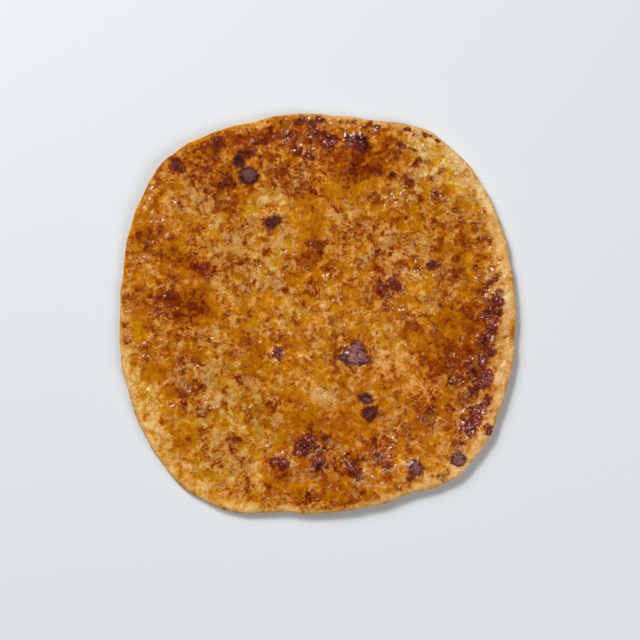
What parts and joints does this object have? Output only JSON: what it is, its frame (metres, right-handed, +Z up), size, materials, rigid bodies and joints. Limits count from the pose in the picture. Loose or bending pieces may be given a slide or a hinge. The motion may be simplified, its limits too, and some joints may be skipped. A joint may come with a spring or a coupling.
{
  "type": "paratha flatbread",
  "caption": "Round, pan-fried flatbread with soft corners, a rounded lip, a curled edge and scorched blisters on its upper side.",
  "frame": {"origin": "on the surface that the bread lies on, under the middle of its outline", "axes": "+Z up out of the browned side, +X and +Y across the bread"},
  "size_m": [0.1986, 0.2007, 0.0073],
  "materials": {
    "crust": "golden brown crust, mottled, wet with clarified butter"
  },
  "bodies": {
    "root": {"paratha": "crust"}
  },
  "joints": []
}
